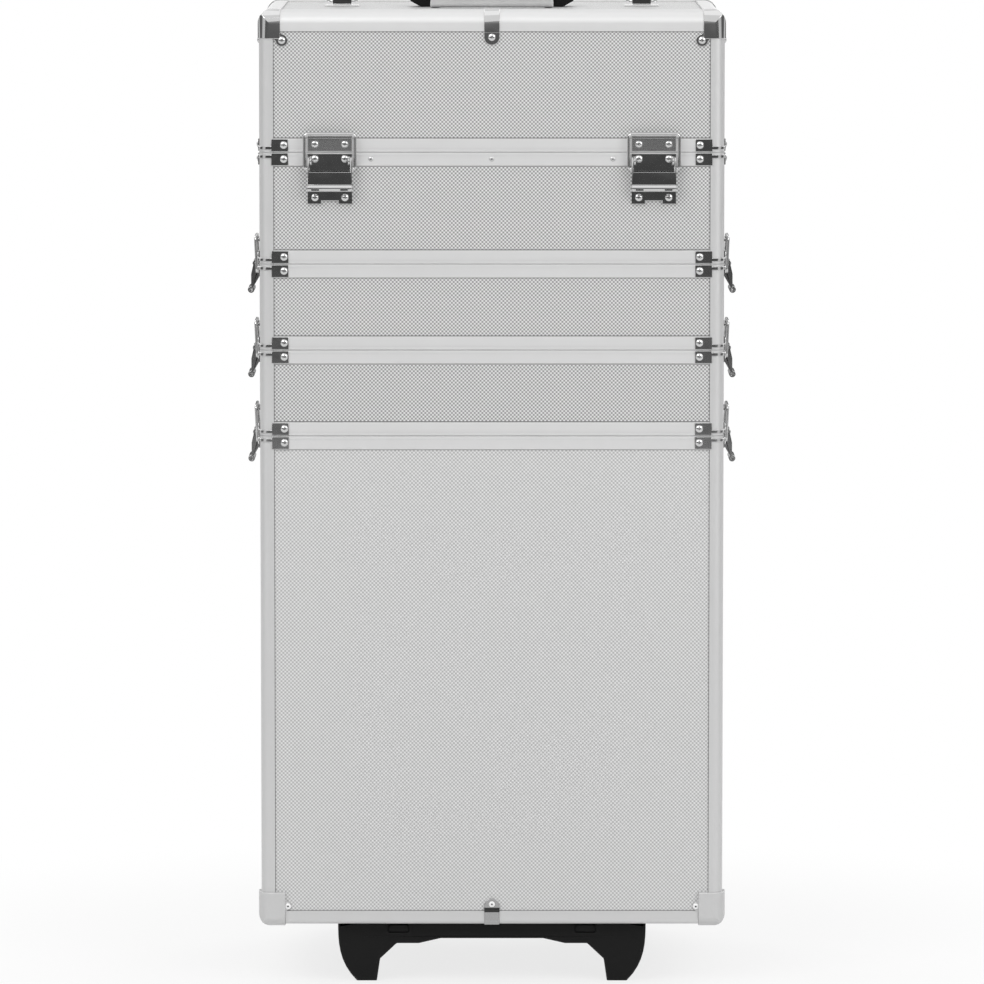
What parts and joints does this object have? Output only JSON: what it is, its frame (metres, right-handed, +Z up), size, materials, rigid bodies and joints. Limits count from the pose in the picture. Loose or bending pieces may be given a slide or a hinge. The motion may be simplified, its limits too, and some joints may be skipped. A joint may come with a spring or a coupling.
{
  "type": "rolling makeup case",
  "caption": "Tall silver rolling makeup case: hinged lid and lift-off tiers in aluminium frames, closed by draw latches, on a black trolley base with a pull handle.",
  "frame": {"origin": "on the floor, under the middle of the whole outline", "axes": "+Z up, -Y towards the front with the two lid latches, +X to the right seen from the front"},
  "size_m": [0.3688, 0.2924, 0.7408],
  "materials": {
    "textured_panel": "silver embossed dot skin on board",
    "satin_aluminium": "satin anodised",
    "cap_grey": "silver moulded",
    "chrome_fittings": "bright plated",
    "plated_steel": "zinc plated",
    "tube_aluminium": "satin drawn tube",
    "silver_grip": "bright silver",
    "black_plastic": "fine moulded grain",
    "button_grey": "fine moulded grain",
    "hub_plastic": "moulded",
    "tyre_rubber": "matt rubber"
  },
  "bodies": {
    "trolley": {"lower_case_panels": "textured_panel", "lower_case_frame": "satin_aluminium", "lower_corner_caps": "cap_grey", "lower_case_trim": "chrome_fittings", "lower_case_latch_plates": "chrome_fittings", "front_feet": "black_plastic", "base_runners": "black_plastic", "axle": "plated_steel", "outer_tubes": "tube_aluminium", "tube_brackets": "black_plastic"},
    "left_wheel": {"left_hub": "hub_plastic", "left_tyre": "tyre_rubber"},
    "right_wheel": {"right_hub": "hub_plastic", "right_tyre": "tyre_rubber"},
    "handle_middle_stage": {"middle_tubes": "tube_aluminium"},
    "handle_inner_stage": {"inner_tubes": "tube_aluminium", "pull_grip": "black_plastic"},
    "release_button": {"release_button": "button_grey"},
    "lower_tray": {"lower_tray_panels": "textured_panel", "lower_tray_frame": "satin_aluminium", "lower_tray_braces": "chrome_fittings", "lower_tray_latch_plates": "chrome_fittings"},
    "upper_tray": {"upper_tray_panels": "textured_panel", "upper_tray_frame": "satin_aluminium", "upper_tray_braces": "chrome_fittings", "upper_tray_latch_plates": "chrome_fittings"},
    "top_case": {"top_case_panels": "textured_panel", "top_case_frame": "satin_aluminium", "top_case_braces": "chrome_fittings", "top_case_latch_plates": "chrome_fittings", "hinge_lower_leaf": "satin_aluminium", "hinge_pin": "plated_steel"},
    "lid": {"lid_panels": "textured_panel", "lid_frame": "satin_aluminium", "lid_corner_guards": "chrome_fittings", "lid_braces": "chrome_fittings", "lid_catches": "chrome_fittings", "hinge_upper_leaf": "satin_aluminium", "carry_brackets": "black_plastic", "strap_saddles": "chrome_fittings"},
    "carry_handle": {"carry_handle": "silver_grip"},
    "left_strap_ring": {"left_strap_ring": "chrome_fittings"},
    "right_strap_ring": {"right_strap_ring": "chrome_fittings"},
    "front_left_lever": {"front_left_lever": "chrome_fittings"},
    "front_left_bail": {"front_left_bail": "chrome_fittings"},
    "left_upper_lever": {"left_upper_lever": "chrome_fittings"},
    "left_upper_bail": {"left_upper_bail": "chrome_fittings"},
    "left_middle_lever": {"left_middle_lever": "chrome_fittings"},
    "left_middle_bail": {"left_middle_bail": "chrome_fittings"},
    "left_lower_lever": {"left_lower_lever": "chrome_fittings"},
    "left_lower_bail": {"left_lower_bail": "chrome_fittings"},
    "front_right_lever": {"front_right_lever": "chrome_fittings"},
    "front_right_bail": {"front_right_bail": "chrome_fittings"},
    "right_upper_lever": {"right_upper_lever": "chrome_fittings"},
    "right_upper_bail": {"right_upper_bail": "chrome_fittings"},
    "right_middle_lever": {"right_middle_lever": "chrome_fittings"},
    "right_middle_bail": {"right_middle_bail": "chrome_fittings"},
    "right_lower_lever": {"right_lower_lever": "chrome_fittings"},
    "right_lower_bail": {"right_lower_bail": "chrome_fittings"}
  },
  "joints": [
    {"name": "left_wheel_spin", "type": "hinge", "parent": "trolley", "child": "left_wheel", "pos_m": [-0.084, 0.12022, 0.026], "axis": [1, 0, 0], "continuous": true},
    {"name": "right_wheel_spin", "type": "hinge", "parent": "trolley", "child": "right_wheel", "pos_m": [0.084, 0.12022, 0.026], "axis": [1, 0, 0], "continuous": true},
    {"name": "handle_middle_slide", "type": "slide", "parent": "trolley", "child": "handle_middle_stage", "axis": [0, 0, 1], "range_m": [0, 0.28]},
    {"name": "handle_inner_slide", "type": "slide", "parent": "handle_middle_stage", "child": "handle_inner_stage", "axis": [0, 0, 1], "range_m": [0, 0.28]},
    {"name": "release_button_press", "type": "slide", "parent": "handle_inner_stage", "child": "release_button", "axis": [0, 0, -1], "range_m": [0, 0.003], "stiffness_N_per_m": 600},
    {"name": "lower_tray_lift", "type": "slide", "parent": "trolley", "child": "lower_tray", "axis": [0, 0, 1], "range_m": [0, 0.16]},
    {"name": "upper_tray_lift", "type": "slide", "parent": "lower_tray", "child": "upper_tray", "axis": [0, 0, 1], "range_m": [0, 0.16]},
    {"name": "top_case_lift", "type": "slide", "parent": "upper_tray", "child": "top_case", "axis": [0, 0, 1], "range_m": [0, 0.16]},
    {"name": "lid_hinge", "type": "hinge", "parent": "top_case", "child": "lid", "pos_m": [0, 0.10412, 0.624], "axis": [-1, 0, 0], "range_deg": [0, 100]},
    {"name": "carry_handle_hinge", "type": "hinge", "parent": "lid", "child": "carry_handle", "pos_m": [0, -0.01678, 0.7344], "axis": [-1, 0, 0], "range_deg": [0, 90]},
    {"name": "left_strap_ring_hinge", "type": "hinge", "parent": "lid", "child": "left_strap_ring", "pos_m": [-0.113, -0.01678, 0.733], "axis": [1, 0, 0], "range_deg": [0, 150]},
    {"name": "right_strap_ring_hinge", "type": "hinge", "parent": "lid", "child": "right_strap_ring", "pos_m": [0.113, -0.01678, 0.733], "axis": [1, 0, 0], "range_deg": [0, 150]},
    {"name": "front_left_lever_hinge", "type": "hinge", "parent": "top_case", "child": "front_left_lever", "pos_m": [-0.12, -0.13987, 0.6175], "axis": [-1, 0, 0], "range_deg": [0, 120]},
    {"name": "front_left_bail_hinge", "type": "hinge", "parent": "front_left_lever", "child": "front_left_bail", "pos_m": [-0.12, -0.13897, 0.6114], "axis": [-1, 0, 0], "range_deg": [-120, 0]},
    {"name": "left_upper_lever_hinge", "type": "hinge", "parent": "upper_tray", "child": "left_upper_lever", "pos_m": [-0.1781, -0.01678, 0.5345], "axis": [0, 1, 0], "range_deg": [0, 120]},
    {"name": "left_upper_bail_hinge", "type": "hinge", "parent": "left_upper_lever", "child": "left_upper_bail", "pos_m": [-0.1772, -0.01678, 0.5284], "axis": [0, 1, 0], "range_deg": [-120, 0]},
    {"name": "left_middle_lever_hinge", "type": "hinge", "parent": "lower_tray", "child": "left_middle_lever", "pos_m": [-0.1781, -0.01678, 0.4705], "axis": [0, 1, 0], "range_deg": [0, 120]},
    {"name": "left_middle_bail_hinge", "type": "hinge", "parent": "left_middle_lever", "child": "left_middle_bail", "pos_m": [-0.1772, -0.01678, 0.4644], "axis": [0, 1, 0], "range_deg": [-120, 0]},
    {"name": "left_lower_lever_hinge", "type": "hinge", "parent": "trolley", "child": "left_lower_lever", "pos_m": [-0.1781, -0.01678, 0.4065], "axis": [0, 1, 0], "range_deg": [0, 120]},
    {"name": "left_lower_bail_hinge", "type": "hinge", "parent": "left_lower_lever", "child": "left_lower_bail", "pos_m": [-0.1772, -0.01678, 0.4004], "axis": [0, 1, 0], "range_deg": [-120, 0]},
    {"name": "front_right_lever_hinge", "type": "hinge", "parent": "top_case", "child": "front_right_lever", "pos_m": [0.12, -0.13987, 0.6175], "axis": [-1, 0, 0], "range_deg": [0, 120]},
    {"name": "front_right_bail_hinge", "type": "hinge", "parent": "front_right_lever", "child": "front_right_bail", "pos_m": [0.12, -0.13897, 0.6114], "axis": [-1, 0, 0], "range_deg": [-120, 0]},
    {"name": "right_upper_lever_hinge", "type": "hinge", "parent": "upper_tray", "child": "right_upper_lever", "pos_m": [0.1781, -0.01678, 0.5345], "axis": [0, -1, 0], "range_deg": [0, 120]},
    {"name": "right_upper_bail_hinge", "type": "hinge", "parent": "right_upper_lever", "child": "right_upper_bail", "pos_m": [0.1772, -0.01678, 0.5284], "axis": [0, -1, 0], "range_deg": [-120, 0]},
    {"name": "right_middle_lever_hinge", "type": "hinge", "parent": "lower_tray", "child": "right_middle_lever", "pos_m": [0.1781, -0.01678, 0.4705], "axis": [0, -1, 0], "range_deg": [0, 120]},
    {"name": "right_middle_bail_hinge", "type": "hinge", "parent": "right_middle_lever", "child": "right_middle_bail", "pos_m": [0.1772, -0.01678, 0.4644], "axis": [0, -1, 0], "range_deg": [-120, 0]},
    {"name": "right_lower_lever_hinge", "type": "hinge", "parent": "trolley", "child": "right_lower_lever", "pos_m": [0.1781, -0.01678, 0.4065], "axis": [0, -1, 0], "range_deg": [0, 120]},
    {"name": "right_lower_bail_hinge", "type": "hinge", "parent": "right_lower_lever", "child": "right_lower_bail", "pos_m": [0.1772, -0.01678, 0.4004], "axis": [0, -1, 0], "range_deg": [-120, 0]}
  ],
  "couplings": [
    {"joint": "front_left_bail_hinge", "follows": "front_left_lever_hinge", "ratio": -1},
    {"joint": "left_upper_bail_hinge", "follows": "left_upper_lever_hinge", "ratio": -1},
    {"joint": "left_middle_bail_hinge", "follows": "left_middle_lever_hinge", "ratio": -1},
    {"joint": "left_lower_bail_hinge", "follows": "left_lower_lever_hinge", "ratio": -1},
    {"joint": "front_right_bail_hinge", "follows": "front_right_lever_hinge", "ratio": -1},
    {"joint": "right_upper_bail_hinge", "follows": "right_upper_lever_hinge", "ratio": -1},
    {"joint": "right_middle_bail_hinge", "follows": "right_middle_lever_hinge", "ratio": -1},
    {"joint": "right_lower_bail_hinge", "follows": "right_lower_lever_hinge", "ratio": -1}
  ]
}
